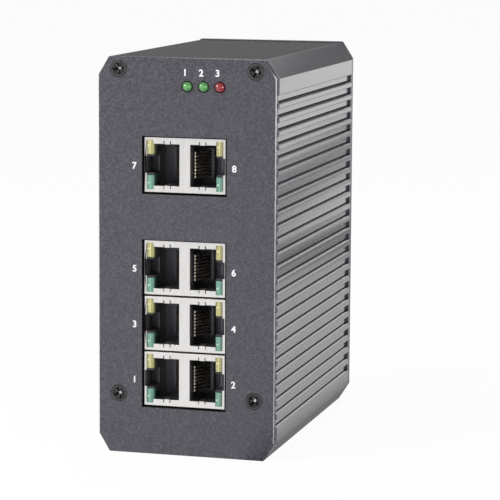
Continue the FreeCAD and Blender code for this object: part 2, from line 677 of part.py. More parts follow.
def rail_spring():
    """Bowed flat wire whose ends turn up into the upper hook; its belly meets the rail's edge."""
    half_wire = WIRE_SPAN / 2
    half_belly = WIRE_BELLY / 2
    shoulder_z = upper_slot_top - WIRE_BEND - WIRE_FIT
    belly_z = rail_top + WIRE_THICKNESS / 2 + WIRE_FIT
    points = [V(-half_wire, wire_y, upper_slot_top + WIRE_END), V(-half_wire, wire_y, shoulder_z),
              V(-half_belly, wire_y, belly_z), V(half_belly, wire_y, belly_z),
              V(half_wire, wire_y, shoulder_z), V(half_wire, wire_y, upper_slot_top + WIRE_END)]
    x0, x1 = points[0].x - WIRE_THICKNESS / 2, points[0].x + WIRE_THICKNESS / 2
    y0, y1 = wire_y - WIRE_WIDTH / 2, wire_y + WIRE_WIDTH / 2
    corners = [V(x, y, points[0].z) for x, y in ((x0, y0), (x1, y0), (x1, y1), (x0, y1))]
    section = Part.makePolygon(corners + corners[:1])
    return bent_wire(points, WIRE_BEND).makePipeShell([section], True, False)


# ---- Build -------------------------------------------------------------------
os.makedirs("parts", exist_ok=True)

save("housing", housing())
save("front_plate", front_plate())
save("rear_plate", rear_plate())
save("front_screws", screw_set(screw_places, 0, 1, SCREW_LENGTH))
save("rear_screws", screw_set(screw_places, BODY_DEPTH, -1, SCREW_LENGTH))
save("ground_screw", ground_screw())

for number, z in enumerate(jack_zs):
    name = f"jack_{2 * number + 1}_{2 * number + 2}"
    save(f"{name}_shield", jack_shield(z))
    save(f"{name}_insert", jack_insert(z))
    save(f"{name}_contacts", jack_contacts(z))
    save(f"{name}_yellow_lights", Part.makeCompound([jack_light(z, side, 1) for side in (-1, 1)]))
    save(f"{name}_green_lights", Part.makeCompound([jack_light(z, side, -1) for side in (-1, 1)]))

for name, (x, z) in zip(("power_led_1", "power_led_2", "alarm_led"), led_places()):
    save(name, led(x, z))
save("indicator_board", indicator_board())
save("indicator_pin_strip", indicator_pin_strip())

save("main_board", main_board())
save("switch_chip", on_board(bay_y, lower_jack_zs[1], CHIP_HEIGHT, CHIP_SIDE, CHIP_SIDE))
save("crystal", on_board(bay_y, lower_jack_zs[0], *CRYSTAL_SIZE))
save("converter_chip", on_board(second_bay_y, lower_jack_zs[0], CHIP_HEIGHT, CONVERTER_SIDE, CONVERTER_SIDE))
save("inductor", on_board(second_bay_y, lower_jack_zs[1], INDUCTOR_HEIGHT, INDUCTOR_SIDE, INDUCTOR_SIDE))
save("fuse", on_board(bay_y, fuse_z, *FUSE_SIZE))
save("alarm_relay", on_board(bay_y, fuse_z + FUSE_SIZE[-1] + PART_GAP, *RELAY_SIZE))
save("capacitors", capacitors())

save("terminal_header", terminal_header())
save("terminal_pins", terminal_pins())

save("rail_bracket", rail_bracket())
save("rail_spring", rail_spring())
save("bracket_screws", screw_set(bracket_screw_places, bracket_back, -1, BRACKET_SCREW_LENGTH))
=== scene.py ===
"""Eight-socket network switch for a mounting rail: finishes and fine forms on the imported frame."""
import math

import bmesh
import bpy
from mathutils import Euler, Matrix, Vector


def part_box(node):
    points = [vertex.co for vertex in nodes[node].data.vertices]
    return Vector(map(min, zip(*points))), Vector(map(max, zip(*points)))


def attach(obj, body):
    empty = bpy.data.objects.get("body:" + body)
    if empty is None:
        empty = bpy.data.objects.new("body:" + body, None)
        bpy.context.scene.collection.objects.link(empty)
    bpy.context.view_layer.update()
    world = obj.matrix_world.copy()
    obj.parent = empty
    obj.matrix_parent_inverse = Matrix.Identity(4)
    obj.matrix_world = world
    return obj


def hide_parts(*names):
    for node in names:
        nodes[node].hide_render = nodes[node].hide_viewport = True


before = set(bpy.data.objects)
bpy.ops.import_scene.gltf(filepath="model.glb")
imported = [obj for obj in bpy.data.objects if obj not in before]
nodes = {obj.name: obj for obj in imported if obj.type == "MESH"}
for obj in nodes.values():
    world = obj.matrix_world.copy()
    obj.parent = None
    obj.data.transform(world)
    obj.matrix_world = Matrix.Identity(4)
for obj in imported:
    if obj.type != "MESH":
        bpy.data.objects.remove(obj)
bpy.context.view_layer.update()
bpy.ops.object.select_all(action="DESELECT")
MM = 0.001


# ---- Camera and studio ---------------------------------------------------------
# A long lens a little to the right of the front and a little above it. The switch stands on
# a white table under soft lamps, and the room behind the table is dim up to its bright ceiling.
CAMERA_TARGET = Vector((5.08, 0.78, 55.82)) * MM
CAMERA_DISTANCE = 768.5 * MM
CAMERA_AZIMUTH = math.radians(15.43)
CAMERA_ELEVATION = math.radians(8.14)
CAMERA_ROLL = math.radians(0.36)
CAMERA_LENS = 173.45
CAMERA_SENSOR = 36.0
TABLE_SIDE = 30.0
TABLE_COLOUR = (0.85, 0.85, 0.85, 1)
TABLE_WHITE_SHARE = 0.95           # share of plain white where a ray sees the table directly
AMBIENT = 0.38
# What gloss alone sees: the room's brightness by the height of the view, the floor's by metres to
# the right with a painted shadow next to the switch, and two darker stripes painted on the floor,
# each (degrees turned, middle, half width, depth).
ROOM_TONES = ((0.0, 0.12), (0.21, 0.13), (0.26, 1.0), (0.34, 1.0), (0.45, 0.4), (1.0, 0.45))
FLOOR_TONES = ((0.015, 0.95), (0.02, 0.17), (0.031, 0.2), (0.04, 0.62), (0.1, 0.62), (0.15, 1.0),
               (0.25, 1.0))
FLOOR_STRIPES = ((4.7, 0.151, 0.04, 0.9), (-3.5, 0.151, 0.03, 0.85))
STRIPE_CORE = 0.35                 # share of a stripe's half width that is nearly as dark as its middle
STRIPE_CORE_DEPTH = 0.8            # and how dark that is

camera_data = bpy.data.cameras.new("camera")
camera_data.lens = CAMERA_LENS
camera_data.sensor_width = CAMERA_SENSOR
camera_data.clip_start = 0.01
camera = bpy.data.objects.new("camera", camera_data)
bpy.context.scene.collection.objects.link(camera)
aim = Euler((math.pi / 2 - CAMERA_ELEVATION, 0, CAMERA_AZIMUTH)).to_matrix().to_4x4()
backwards = aim @ Vector((0, 0, CAMERA_DISTANCE))
roll = Matrix.Rotation(CAMERA_ROLL, 4, "Z")
camera.matrix_world = Matrix.Translation(CAMERA_TARGET + backwards) @ aim @ roll
bpy.context.scene.camera = camera
bpy.context.scene.view_settings.view_transform = "Standard"


def area_lamp(name, place, target, width, height, watts):
    """Soft rectangular lamp aimed at a point."""
    data = bpy.data.lights.new(name, "AREA")
    data.shape = "RECTANGLE"
    data.size = width
    data.size_y = height
    data.energy = watts
    lamp = bpy.data.objects.new(name, data)
    bpy.context.scene.collection.objects.link(lamp)
    direction = Vector(target) - Vector(place)
    turn = direction.to_track_quat("-Z", "Y").to_matrix().to_4x4()
    lamp.matrix_world = Matrix.Translation(place) @ turn


object_middle = Vector((0, 0, 0.06))
area_lamp("front_lamp", (-0.36, -0.36, 0.32), object_middle, 0.22, 0.22, 2.7)
area_lamp("right_lamp", (1.05, -0.35, 0.16), object_middle, 0.3, 0.28, 6.0)
area_lamp("top_lamp", (-0.1, 0.4, 1.3), object_middle, 0.7, 0.7, 6.0)


def calculated(tree, operation, *terms):
    """Result of one Math node; each term is a number or another node's output."""
    node = tree.nodes.new("ShaderNodeMath")
    node.operation = operation
    for socket, term in zip(node.inputs, terms):
        if isinstance(term, (int, float)):
            socket.default_value = term
        else:
            tree.links.new(term, socket)
    return node.outputs[0]


def axes_of(tree, space="Object"):
    """X, Y and Z of the shaded point in its object's frame, or of the view's direction in a world."""
    place = tree.nodes.new("ShaderNodeTexCoord")
    axes = tree.nodes.new("ShaderNodeSeparateXYZ")
    tree.links.new(place.outputs[space], axes.inputs[0])
    return axes.outputs["X"], axes.outputs["Y"], axes.outputs["Z"]


def is_ray(tree, *kinds):
    """Value that is 1 for rays of the named kinds and 0 for all others."""
    path = tree.nodes.new("ShaderNodeLightPath")
    result = path.outputs[kinds[0]]
    for kind in kinds[1:]:
        result = calculated(tree, "MAXIMUM", result, path.outputs[kind])
    return result


def either_shader(tree, choice, first, second):
    """Second shader where choice is 1, first where it is 0."""
    blend = tree.nodes.new("ShaderNodeMixShader")
    tree.links.new(choice, blend.inputs["Fac"])
    tree.links.new(first, blend.inputs[1])
    tree.links.new(second, blend.inputs[2])
    return blend.outputs[0]


def tone_ramp(tree, value, tones):
    """Grey that follows a value through two or more pairs (value, brightness)."""
    low, high = tones[0][0], tones[-1][0]
    reach = tree.nodes.new("ShaderNodeMapRange")
    reach.inputs["From Min"].default_value = low
    reach.inputs["From Max"].default_value = high
    ramp = tree.nodes.new("ShaderNodeValToRGB")
    while len(ramp.color_ramp.elements) < len(tones):
        ramp.color_ramp.elements.new(0.5)
    for element, (place, brightness) in zip(ramp.color_ramp.elements, tones):
        element.position = (place - low) / (high - low)
        element.color = (brightness, brightness, brightness, 1)
    tree.links.new(value, reach.inputs["Value"])
    tree.links.new(reach.outputs["Result"], ramp.inputs["Fac"])
    return ramp.outputs["Color"]


world = bpy.data.worlds.new("studio")
bpy.context.scene.world = world
world.use_nodes = True
sky = world.node_tree
ambient = sky.nodes["Background"]
ambient.inputs["Strength"].default_value = AMBIENT
white_sky = sky.nodes.new("ShaderNodeBackground")
for light in (ambient, white_sky):
    light.inputs["Color"].default_value = (1, 1, 1, 1)
room = sky.nodes.new("ShaderNodeBackground")
height = axes_of(sky, "Generated")[2]
sky.links.new(tone_ramp(sky, height, ROOM_TONES), room.inputs["Color"])
seen = either_shader(sky, is_ray(sky, "Is Glossy Ray"), ambient.outputs[0], room.outputs[0])
seen = either_shader(sky, is_ray(sky, "Is Camera Ray", "Is Transmission Ray"), seen, white_sky.outputs[0])
sky.links.new(seen, sky.nodes["World Output"].inputs["Surface"])


def floor_reflection(tree):
    """The floor's brightness as gloss shows it: a painted shadow by the switch, paler far off, with soft
    painted dark stripes.
    """
    right, back, _ = axes_of(tree)
    brightness = tone_ramp(tree, right, FLOOR_TONES)
    for turn, middle, half_width, darkness in FLOOR_STRIPES:
        across = calculated(tree, "MULTIPLY_ADD", right, math.cos(math.radians(turn)), -middle)
        across = calculated(tree, "MULTIPLY_ADD", back, -math.sin(math.radians(turn)), across)
        core = (STRIPE_CORE * half_width, 1 - STRIPE_CORE_DEPTH * darkness)
        share = tone_ramp(tree, calculated(tree, "ABSOLUTE", across),
                          ((0.0, 1 - darkness), core, (half_width, 1.0)))
        brightness = calculated(tree, "MULTIPLY", brightness, share)
    return brightness


bpy.ops.mesh.primitive_plane_add(size=TABLE_SIDE, location=(0, 0, 0))
table = bpy.context.object
table.name = "table"
table_paint = bpy.data.materials.new("white_table")
table_paint.use_nodes = True
tree = table_paint.node_tree
surface = tree.nodes["Principled BSDF"]
surface.inputs["Base Color"].default_value = TABLE_COLOUR
surface.inputs["Roughness"].default_value = 0.9
surface.inputs["Specular IOR Level"].default_value = 0.0
white = tree.nodes.new("ShaderNodeEmission")
reflected = tree.nodes.new("ShaderNodeEmission")
tree.links.new(floor_reflection(tree), reflected.inputs["Color"])
seen_directly = is_ray(tree, "Is Camera Ray", "Is Transmission Ray")
share = calculated(tree, "MULTIPLY", seen_directly, TABLE_WHITE_SHARE)
seen = either_shader(tree, share, surface.outputs[0], white.outputs[0])
seen = either_shader(tree, is_ray(tree, "Is Glossy Ray"), seen, reflected.outputs[0])
tree.links.new(seen, tree.nodes["Material Output"].inputs["Surface"])
table.data.materials.append(table_paint)


# ---- Housing and end plates -------------------------------------------------------
# An aluminium extrusion with ribbed sides, closed by a flat plate at each end, all in one dark
# grey powder coat with a fine sand texture. Every arris is broken. A painted shade darkens the
# grooves' lower corners and the cut walls of the plate's openings, and a painted highlight
# lightens the front plate's sides and the ribs' front ends.
GRAIN_SPAN = (0.35, 0.65)          # what the grain's tone seldom leaves
BROAD_SHARE = 0.4                  # of the broad noise in it
COAT_DARK = (0.022, 0.0205, 0.031)
COAT_LIGHT = (0.083, 0.08, 0.098)
HOUSING_ROUGHNESS = (0.1, 0.2)
PLATE_ROUGHNESS = (0.2, 0.32)
COAT_GRAIN = 3300
COAT_MOTTLE = 1500
COAT_DEPTH = 0.012 * MM
COAT_GLOSS = 0.85                  # weight of the housing's clear top layer
COAT_SPECKLE = 1.2                 # how far that varies with the grain
GROOVE_DEPTH = 1.0 * MM
GROOVE_LIP = (0.8 * MM, 0.55 * MM)  # slope of each groove's lower lip, inwards and down
LIP_ROUND = 0.3 * MM               # room round a lip's edges in the frame
CORNER_SHADE_HEIGHT = 0.3 * MM             # height of the painted shade in each groove's lower corner
HOUSING_EDGE = 0.08 * MM
OPENING_EDGE = 0.08 * MM
OPENING_ROOM = 0.25 * MM           # more room below the jacks
OPENING_SIDE_ROOM = 0.15 * MM      # and at their right
CORNER_WIDTH = 3.3 * MM            # the plates' cut corners, along X
CORNER_HEIGHT = 5.5 * MM
FRONT_PLATE_EDGE = 0.25 * MM
REAR_PLATE_EDGE = 0.15 * MM
PLATE_MARGIN = 6 * MM              # the openings lie further in than this
OPENING_REACH = 1 * MM             # the openings' edges are nearer to the jacks than this
EDGE_REACH = 0.1 * MM              # what counts as at a plate's edge
NEAR = 0.02 * MM                   # two places as near as this are one


def grain_group():
    """Fine random texture: Tone varies about 0.5 and Height feeds a Bump node."""
    group = bpy.data.node_groups.new("fine_grain", "ShaderNodeTree")
    for name, way, kind in (("Scale", "INPUT", "Float"), ("Broad Scale", "INPUT", "Float"),
                            ("Stretch", "INPUT", "Vector"), ("Tone", "OUTPUT", "Float"),
                            ("Height", "OUTPUT", "Float")):
        group.interface.new_socket(name, in_out=way, socket_type=f"NodeSocket{kind}")
    entry = group.nodes.new("NodeGroupInput")
    leave = group.nodes.new("NodeGroupOutput")
    place = group.nodes.new("ShaderNodeTexCoord")
    stretch = group.nodes.new("ShaderNodeVectorMath")
    stretch.operation = "MULTIPLY"
    group.links.new(place.outputs["Object"], stretch.inputs[0])
    group.links.new(entry.outputs["Stretch"], stretch.inputs[1])
    fine = group.nodes.new("ShaderNodeTexNoise")
    broad = group.nodes.new("ShaderNodeTexNoise")
    for noise, scale, detail in ((fine, "Scale", 2.0), (broad, "Broad Scale", 1.0)):
        noise.inputs["Detail"].default_value = detail
        group.links.new(stretch.outputs[0], noise.inputs["Vector"])
        group.links.new(entry.outputs[scale], noise.inputs["Scale"])
    average = group.nodes.new("ShaderNodeMix")
    average.data_type = "FLOAT"
    average.inputs["Factor"].default_value = BROAD_SHARE
    group.links.new(fine.outputs["Fac"], average.inputs["A"])
    group.links.new(broad.outputs["Fac"], average.inputs["B"])
    group.links.new(average.outputs["Result"], leave.inputs["Tone"])
    group.links.new(fine.outputs["Fac"], leave.inputs["Height"])
    return group


fine_grain = grain_group()


def grained_material(name, dark, light, roughness, scale, broad_scale, depth, stretch=(1, 1, 1), **constants):
    """Surface whose colour runs between two tones with a fine texture; roughness is (low, high)."""
    material = bpy.data.materials.new(name)
    material.use_nodes = True
    tree = material.node_tree
    surface = tree.nodes["Principled BSDF"]
    for socket, value in constants.items():
        surface.inputs[socket.replace("_", " ")].default_value = value
    grain = tree.nodes.new("ShaderNodeGroup")
    grain.name = "grain"
    grain.node_tree = fine_grain
    grain.inputs["Scale"].default_value = scale
    grain.inputs["Broad Scale"].default_value = broad_scale
    grain.inputs["Stretch"].default_value = stretch
    tones = tree.nodes.new("ShaderNodeValToRGB")
    tones.name = "tones"
    for element, position, colour in zip(tones.color_ramp.elements, GRAIN_SPAN, (dark, light)):
        element.position = position
        element.color = (*colour, 1)
    tree.links.new(grain.outputs["Tone"], tones.inputs["Fac"])
    tree.links.new(tones.outputs["Color"], surface.inputs["Base Color"])
    gloss = tree.nodes.new("ShaderNodeMapRange")
    for name, value in zip(("From Min", "From Max", "To Min", "To Max"), (*GRAIN_SPAN, *roughness)):
        gloss.inputs[name].default_value = value
    tree.links.new(grain.outputs["Tone"], gloss.inputs["Value"])
    tree.links.new(gloss.outputs["Result"], surface.inputs["Roughness"])
    bump = tree.nodes.new("ShaderNodeBump")
    bump.inputs["Distance"].default_value = depth
    bump.inputs["Strength"].default_value = 1.0
    tree.links.new(grain.outputs["Height"], bump.inputs["Height"])
    tree.links.new(bump.outputs["Normal"], surface.inputs["Normal"])
    return material


def corners(node):
    """Lowest and highest corner and middle of a frame node's box."""
    low, high = (Vector(corner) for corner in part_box(node))
    return low, high, (low + high) / 2


def only(piece):
    """Makes a piece the one selected and active object."""
    bpy.ops.object.select_all(action="DESELECT")
    piece.select_set(True)
    bpy.context.view_layer.objects.active = piece


def fitted(piece, name, material, slot, *stands_for, angle=30.0):
    """Names a finished piece, gives it its material and fixes it to the switch."""
    only(piece)
    bpy.ops.object.shade_smooth_by_angle(angle=math.radians(angle))
    even = piece.modifiers.new("even_shading", "WEIGHTED_NORMAL")
    even.keep_sharp = True
    bpy.ops.object.modifier_apply(modifier=even.name)
    piece.name = name
    piece.data.materials.clear()
    piece.data.materials.append(material)
    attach(piece, "root")
    if stands_for:
        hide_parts(*stands_for)
    return piece


def merged_copy(node):
    """Copy of a frame node with its loose triangles welded and its flat faces joined."""
    piece = bpy.data.objects.new(f"{node}_copy", nodes[node].data.copy())
    bpy.context.scene.collection.objects.link(piece)
    only(piece)
    bpy.ops.object.mode_set(mode="EDIT")
    bpy.ops.mesh.select_all(action="SELECT")
    bpy.ops.mesh.remove_doubles(threshold=0.002 * MM)
    bpy.ops.mesh.dissolve_limited(angle_limit=math.radians(1.0))
    bpy.ops.object.mode_set(mode="OBJECT")
    return piece


def round_edges(piece, width, segments=2, angle=30.0):
    """Bevels every edge sharper than an angle."""
    rounding = piece.modifiers.new("rounding", "BEVEL")
    rounding.width = width
    rounding.segments = segments
    rounding.limit_method = "ANGLE"
    rounding.angle_limit = math.radians(angle)
    only(piece)
    bpy.ops.object.modifier_apply(modifier=rounding.name)


def softened(node, slot, material, width, segments=2, angle=30.0):
    """Copy of a frame node with its edges rounded, which stands for that node."""
    piece = merged_copy(node)
    round_edges(piece, width, segments, angle)
    return fitted(piece, f"{node}_finish", material, slot, node, angle=angle)


def select_where(piece, test):
    """In edit mode, selects the vertices whose place passes a test."""
    mesh = bmesh.from_edit_mesh(piece.data)
    for vertex in mesh.verts:
        vertex.select_set(test(vertex.co))
    mesh.select_flush(True)
    bmesh.update_edit_mesh(piece.data)


def bevel_where(piece, test, width, segments):
    """Bevels the edges whose ends both pass a test."""
    only(piece)
    bpy.ops.object.mode_set(mode="EDIT")
    bpy.ops.mesh.select_all(action="DESELECT")
    select_where(piece, test)
    bpy.ops.mesh.bevel(offset=width, segments=segments, affect="EDGES")
    bpy.ops.object.mode_set(mode="OBJECT")


def with_materials(piece, *materials):
    """Adds materials after a piece's own; returns its faces, which take them by number."""
    for material in materials:
        piece.data.materials.append(material)
    return piece.data.polygons


def on_outline(place, half, margin):
    """Whether a point, taken from a plate's middle, is near the plate's four sides or its cut corners."""
    across, up = half.x - abs(place.x), half.z - abs(place.z)
    return min(across, up) < margin or across / CORNER_WIDTH + (up - margin) / CORNER_HEIGHT < 1


def coat_material(name, dark, light, roughness, depth=COAT_DEPTH, **constants):
    """Surface with the powder coat's own texture."""
    return grained_material(name, dark, light, roughness, COAT_GRAIN, COAT_MOTTLE, depth, **constants)


housing_coat = coat_material("housing_coat", COAT_DARK, COAT_LIGHT, HOUSING_ROUGHNESS, 0.6 * COAT_DEPTH,
                             Specular_IOR_Level=1.0, Coat_Roughness=0.07)
tree = housing_coat.node_tree
weight = calculated(tree, "MULTIPLY_ADD", tree.nodes["grain"].outputs["Tone"], COAT_SPECKLE,
                    COAT_GLOSS - 0.5 * COAT_SPECKLE)
tree.links.new(weight, tree.nodes["Principled BSDF"].inputs["Coat Weight"])
plate_coat = coat_material("plate_coat", COAT_DARK, COAT_LIGHT, PLATE_ROUGHNESS, Specular_IOR_Level=0.7)
# Painted shade: near black, for the grooves' lower corners.
corner_painted_shade = coat_material("corner_painted_shade", (0.004, 0.004, 0.005), (0.014, 0.014, 0.016), (0.6, 0.7),
                            Specular_IOR_Level=0.1)
# Painted highlight: pale coat for the front plate's sides and the ribs' front ends.
highlight_painted_coat = coat_material("highlight_painted_coat", (0.2, 0.195, 0.21), (0.42, 0.41, 0.43), (0.3, 0.4),
                            Specular_IOR_Level=0.7)
# Painted shade: near black, for the cut walls of the plate's openings.
opening_painted_shade = coat_material("opening_painted_shade", (0.004, 0.004, 0.005), (0.012, 0.012, 0.014), (0.5, 0.6),
                             Specular_IOR_Level=0.2)

housing = merged_copy("housing")
side = corners("housing")[1].x
groove_floor = side - GROOVE_DEPTH
lip_foot = side - GROOVE_LIP[0]
edge_points = [vertex.co for vertex in housing.data.vertices]
floor_ends = sorted({round(place.z, 5) for place in edge_points if abs(abs(place.x) - groove_floor) < NEAR})
groove_bottoms = floor_ends[::2]


def nearest_bottom(height):
    """Height of the groove bottom that is nearest."""
    return min(groove_bottoms, key=lambda z: abs(z - height))


for place in edge_points:
    bottom = nearest_bottom(place.z)
    drop = bottom - place.z
    if abs(place.x) > side - LIP_ROUND and -0.05 * MM < drop < LIP_ROUND:
        if drop > 0.05 * MM:
            place.z = bottom - GROOVE_LIP[1]
        else:
            place.x = math.copysign(lip_foot, place.x)
bpy.ops.object.mode_set(mode="EDIT")
for bottom in groove_bottoms:
    bpy.ops.mesh.select_all(action="SELECT")
    bpy.ops.mesh.bisect(plane_co=(0, 0, bottom + CORNER_SHADE_HEIGHT), plane_no=(0, 0, 1))
bpy.ops.object.mode_set(mode="OBJECT")
round_edges(housing, HOUSING_EDGE)
fitted(housing, "housing_finish", housing_coat, "housing_coat", "housing")
# The grooves' lower corners take the painted shade, and the faces turned to the front take the painted
# highlight.
for face in with_materials(housing, corner_painted_shade, highlight_painted_coat):
    rise = face.center.z - nearest_bottom(face.center.z)
    in_corner = groove_floor - NEAR < abs(face.center.x) < lip_foot - NEAR
    if in_corner and -1.5 * HOUSING_EDGE < rise < CORNER_SHADE_HEIGHT:
        face.material_index = 1
    elif face.normal.y < -0.3:
        face.material_index = 2

softened("rear_plate", "plate_coat", plate_coat, REAR_PLATE_EDGE)

plate = merged_copy("front_plate")
low, high, middle = corners("front_plate")
lowest_jack, highest_jack = corners("jack_1_2_shield"), corners("jack_7_8_shield")
jacks_right = lowest_jack[1].x
for place in [vertex.co for vertex in plate.data.vertices]:
    beside_jacks = lowest_jack[0].z - OPENING_REACH < place.z < highest_jack[1].z + OPENING_REACH
    if beside_jacks and jacks_right < place.x < jacks_right + OPENING_REACH:
        place.x += OPENING_SIDE_ROOM
    for jack_low, jack_high, _ in (lowest_jack, highest_jack):
        below_jack = -OPENING_REACH < place.z - jack_low.z < 0
        if below_jack and jack_low.x - OPENING_REACH < place.x < jack_high.x + OPENING_REACH:
            place.z -= OPENING_ROOM
bevel_where(plate, lambda place: place.y < low.y + EDGE_REACH and high.x - abs(place.x) < EDGE_REACH,
            FRONT_PLATE_EDGE, 4)
round_edges(plate, OPENING_EDGE, 2, 50.0)
fitted(plate, "front_plate_finish", plate_coat, "plate_coat", "front_plate")
# The openings' cut walls take the painted shade, and the plate's sides take the painted highlight.
for face in with_materials(plate, opening_painted_shade, highlight_painted_coat):
    inside = not on_outline(face.center - middle, high - middle, PLATE_MARGIN)
    if inside and abs(face.normal.y) < 0.5:
        face.material_index = 1
    elif high.x - abs(face.center.x) < FRONT_PLATE_EDGE and 0.2 < abs(face.normal.x) < 0.9:
        face.material_index = 2


# ---- Countersunk screws ------------------------------------------------------------
# Cross-recess machine screws, cold-headed and thread-rolled: black oxide ones hold the two end
# plates to the housing, and bright zinc ones hold the rail bracket to the rear plate.
HEAD_RADIUS = 2.6 * MM
HEAD_RIM = 0.12 * MM
HEAD_RING = (2.05 * MM, 2.22 * MM)  # ring painted pale as a highlight, inside and out
HEAD_CROWN = 0.02 * MM             # rise of the head inside that ring
SHANK_RADIUS = 1.5 * MM
HEAD_HEIGHT = HEAD_RADIUS - SHANK_RADIUS
THREAD_PITCH = 0.5 * MM
THREAD_DEPTH = 0.12 * MM
RECESS_WIDTH = 3.6 * MM
RECESS_BLADE = 0.85 * MM
RECESS_DEPTH = 1.5 * MM
WORN_RADIUS = 0.9 * MM             # the driver has rubbed the recess bright within this radius
WORN_FROM = 0.4 * RECESS_DEPTH     # and below this depth
FRONT_TURNS = (24, 51, 8, 66)      # degrees, no two driven home alike
REAR_TURNS = (72, 33, 15, 57)
BRACKET_TURNS = (40, 5, 62, 84)
FACING_FRONT = Matrix.Rotation(math.radians(90), 4, "X")
FACING_REAR = Matrix.Rotation(math.radians(-90), 4, "X")


def turned(rings, sides):
    """Solid turned about Z: a disc extruded and scaled from ring to ring, each (radius, height)."""
    radius, height = rings[0]
    bpy.ops.mesh.primitive_circle_add(vertices=sides, radius=radius, fill_type="NGON",
                                      location=(0, 0, height))
    piece = bpy.context.object
    bpy.ops.object.transform_apply(location=True, rotation=False, scale=False)
    bpy.ops.object.mode_set(mode="EDIT")
    bpy.ops.mesh.select_all(action="SELECT")
    for (before, start), (after, end) in zip(rings, rings[1:]):
        bpy.ops.mesh.extrude_region_move(TRANSFORM_OT_translate={"value": (0, 0, end - start)})
        ratio = after / before
        bpy.ops.transform.resize(value=(ratio, ratio, 1), center_override=(0, 0, 0))
    bpy.ops.mesh.select_all(action="SELECT")
    bpy.ops.mesh.normals_make_consistent(inside=False)
    bpy.ops.object.mode_set(mode="OBJECT")
    return piece


def joined(pieces):
    """Several objects made one."""
    bpy.ops.object.select_all(action="DESELECT")
    for piece in pieces:
        piece.select_set(True)
    bpy.context.view_layer.objects.active = pieces[0]
    bpy.ops.object.join()
    return bpy.context.object


def placed(master, matrices):
    """One object of copies of a master, each with its own mesh put in its place; the master goes."""
    copies = []
    for matrix in matrices:
        copy = bpy.data.objects.new(master.name, master.data.copy())
        copy.data.transform(matrix)
        bpy.context.scene.collection.objects.link(copy)
        copies.append(copy)
    bpy.data.objects.remove(master)
    return joined(copies)


def cut(piece, cutter):
    """Takes a cutter's shape out of a piece; the cutter goes."""
    hole = piece.modifiers.new("cut", "BOOLEAN")
    hole.operation = "DIFFERENCE"
    hole.solver = "EXACT"
    hole.object = cutter
    only(piece)
    bpy.ops.object.modifier_apply(modifier=hole.name)
    bpy.data.objects.remove(cutter)


def brick(low, high):
    """Block between two corners."""
    middle = (Vector(low) + Vector(high)) / 2
    bpy.ops.mesh.primitive_cube_add(size=1, location=middle)
    piece = bpy.context.object
    piece.scale = Vector(high) - Vector(low)
    bpy.ops.object.transform_apply(location=True, rotation=False, scale=True)
    return piece


def driver_tip(width, blade, depth):
    """Two crossed blades that narrow downwards from above Z = 0, the shape that a cross recess has."""
    blades = []
    for size in ((width, blade), (blade, width)):
        half_x, half_y = size[0] / 2, size[1] / 2
        piece = brick((-half_x, -half_y, -depth), (half_x, half_y, 0.1 * depth))
        bpy.ops.object.mode_set(mode="EDIT")
        select_where(piece, lambda place: place.z < 0)
        narrow = [0.25 if side == width else 0.6 for side in size]
        bpy.ops.transform.resize(value=(*narrow, 1), center_override=(0, 0, 0))
        bpy.ops.object.mode_set(mode="OBJECT")
        blades.append(piece)
    return blades


def countersunk_screw(length):
    """Countersunk screw along Z, its head's face up at Z = 0."""
    rings = [(HEAD_RING[0], 0), (HEAD_RING[1], -HEAD_CROWN), (HEAD_RADIUS - HEAD_RIM, -HEAD_CROWN),
             (HEAD_RADIUS, -HEAD_RIM), (SHANK_RADIUS, -HEAD_HEIGHT - HEAD_RIM)]
    height = -HEAD_HEIGHT - 3 * HEAD_RIM
    while height > HEAD_RIM - length:
        rings += [(SHANK_RADIUS, height), (SHANK_RADIUS - THREAD_DEPTH, height - THREAD_PITCH / 2)]
        height -= THREAD_PITCH
    rings.append((SHANK_RADIUS / 2, -length))
    screw = turned(rings, 40)
    for blade in driver_tip(RECESS_WIDTH, RECESS_BLADE, RECESS_DEPTH):
        cut(screw, blade)
    round_edges(screw, 0.05 * MM, 2, 40)
    return screw


def screw_places(node, facing, turns):
    """Places of a node's four screws, from its box: the head's face, its turn and its axis."""
    low, high, _ = corners(node)
    face = low.y if facing is FACING_FRONT else high.y
    inset = HEAD_RADIUS
    centres = [(x, z) for z in (low.z + inset, high.z - inset) for x in (low.x + inset, high.x - inset)]
    return [Matrix.Translation((x, face, z)) @ facing @ Matrix.Rotation(math.radians(turn), 4, "Z")
            for (x, z), turn in zip(centres, turns)]


def heads_worn_and_light_painted(screws, places, *materials):
    """Gives black screws bright driver marks, a ring of painted highlight and recesses in painted shade, by
    materials in that order.
    """
    heads = [place.translation for place in places]
    for face in with_materials(screws, *materials):
        radius = min(math.hypot(face.center.x - head.x, face.center.z - head.z) for head in heads)
        depth = abs(face.center.y - heads[0].y)
        if HEAD_RING[0] < radius < HEAD_RING[1] and depth < HEAD_RIM:
            face.material_index = 2
        elif 0.08 * RECESS_DEPTH < depth < 1.05 * RECESS_DEPTH and radius < RECESS_WIDTH / 2:
            face.material_index = 1 if radius < WORN_RADIUS and depth > WORN_FROM else 3


black_steel = grained_material("black_steel", (0.002, 0.002, 0.002), (0.045, 0.045, 0.047), (0.35, 0.5), 3000,
                               1200, 0.01 * MM, Specular_IOR_Level=0.2)
# Painted highlight: the pale ring on each black head.
ring_painted_highlight = grained_material("ring_painted_highlight", (0.02, 0.02, 0.021), (0.13, 0.13, 0.135), (0.3, 0.45),
                                2500, 900, 0.01 * MM, Specular_IOR_Level=0.6)
# Painted shade: the blacker arms of the cross recesses.
recess_painted_shade = grained_material("recess_painted_shade", (0.001, 0.001, 0.001), (0.004, 0.004, 0.004), (0.5, 0.6),
                                3000, 1200, 0.005 * MM, Specular_IOR_Level=0.1)
worn_steel = grained_material("worn_steel", (0.45, 0.45, 0.46), (0.85, 0.85, 0.86), (0.15, 0.3), 3000, 1200,
                              0.01 * MM, Metallic=1.0)
zinc_steel = grained_material("zinc_steel", (0.5, 0.51, 0.53), (0.68, 0.69, 0.7), (0.24, 0.36), 2500, 500,
                              0.003 * MM, Metallic=1.0)
